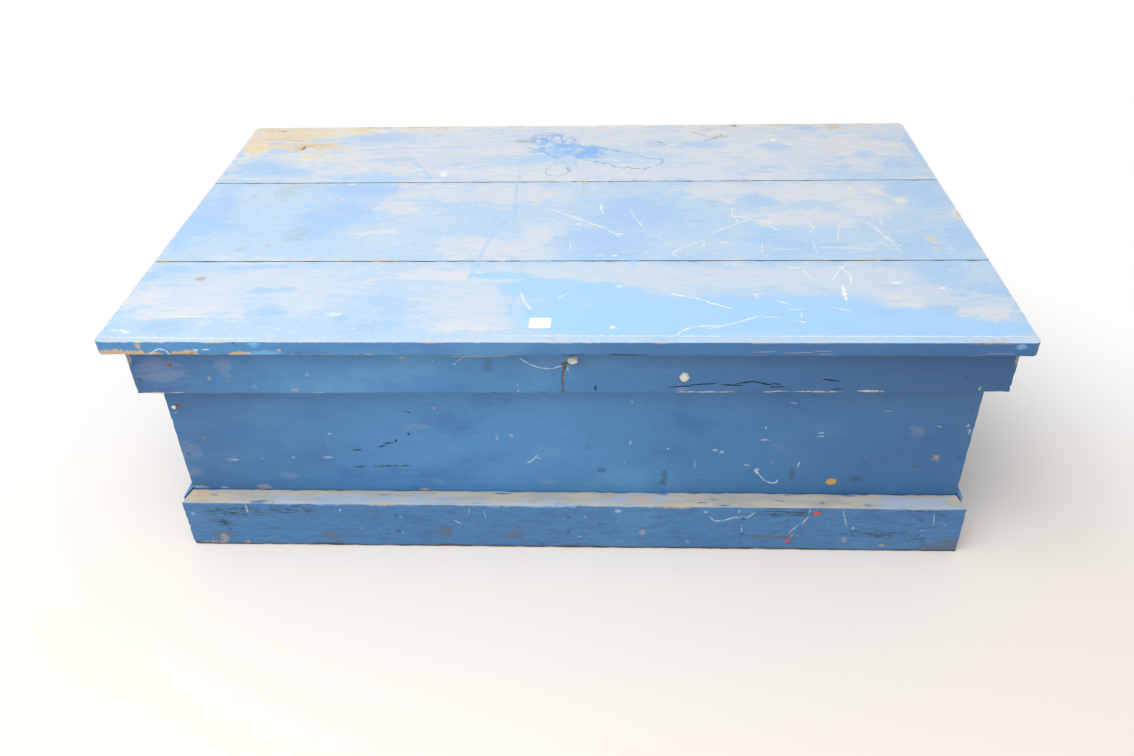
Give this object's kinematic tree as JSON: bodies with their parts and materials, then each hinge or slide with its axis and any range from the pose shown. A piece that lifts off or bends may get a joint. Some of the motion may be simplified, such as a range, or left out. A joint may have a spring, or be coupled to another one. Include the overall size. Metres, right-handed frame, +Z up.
{
  "type": "sea chest",
  "caption": "Low wide nailed board chest with a hinged flat lid, a deep skirt round the lid, a plinth and a drop handle on each end.",
  "frame": {"origin": "on the floor, under the middle of the carcase", "axes": "+X to the chest's right seen from its front, +Y from front to back, +Z up"},
  "size_m": [1, 0.6238, 0.3093],
  "materials": {
    "painted_pine": "worn matt blue paint on pine boards",
    "bare_pine": "bare aged pine",
    "fastener_iron": "rusty iron nails and screws",
    "black_iron": "dull black iron with some rust",
    "paper": "blank aged paper"
  },
  "bodies": {
    "chest": {"back_board": "painted_pine", "back_corner_nails": "fastener_iron", "bottom_board_back": "bare_pine", "bottom_board_front": "bare_pine", "bottom_board_middle": "bare_pine", "bottom_nails": "fastener_iron", "front_board": "painted_pine", "front_corner_nails": "fastener_iron", "hinge_back_screws": "fastener_iron", "left_end_board": "painted_pine", "left_handle_plate": "black_iron", "left_handle_screws": "fastener_iron", "left_hinge_back_leaf": "black_iron", "left_hinge_pin": "black_iron", "left_runner": "bare_pine", "middle_runner": "bare_pine", "plinth_front": "painted_pine", "plinth_left": "painted_pine", "plinth_nails": "fastener_iron", "plinth_right": "painted_pine", "right_end_board": "painted_pine", "right_handle_plate": "black_iron", "right_handle_screws": "fastener_iron", "right_hinge_back_leaf": "black_iron", "right_hinge_pin": "black_iron", "right_runner": "bare_pine", "runner_nails": "fastener_iron"},
    "lid": {"batten_screws": "fastener_iron", "hinge_lid_screws": "fastener_iron", "left_hinge_lid_leaf": "black_iron", "lid_batten_left": "bare_pine", "lid_batten_middle": "bare_pine", "lid_batten_right": "bare_pine", "lid_board_back": "painted_pine", "lid_board_front": "painted_pine", "lid_board_middle": "painted_pine", "lid_nails": "fastener_iron", "lid_skirt_front": "painted_pine", "lid_skirt_left": "painted_pine", "lid_skirt_right": "painted_pine", "paper_label": "paper", "right_hinge_lid_leaf": "black_iron", "skirt_corner_nails": "fastener_iron"},
    "left_handle": {"left_handle_bail": "black_iron"},
    "right_handle": {"right_handle_bail": "black_iron"}
  },
  "joints": [
    {"name": "lid_hinge", "type": "hinge", "parent": "chest", "child": "lid", "pos_m": [0, 0.2934, 0.292], "axis": [-1, 0, 0], "range_deg": [0, 100]},
    {"name": "left_handle_swing", "type": "hinge", "parent": "chest", "child": "left_handle", "pos_m": [-0.477, 0, 0.176], "axis": [0, 1, 0], "range_deg": [0, 180]},
    {"name": "right_handle_swing", "type": "hinge", "parent": "chest", "child": "right_handle", "pos_m": [0.477, 0, 0.176], "axis": [0, -1, 0], "range_deg": [0, 180]}
  ]
}
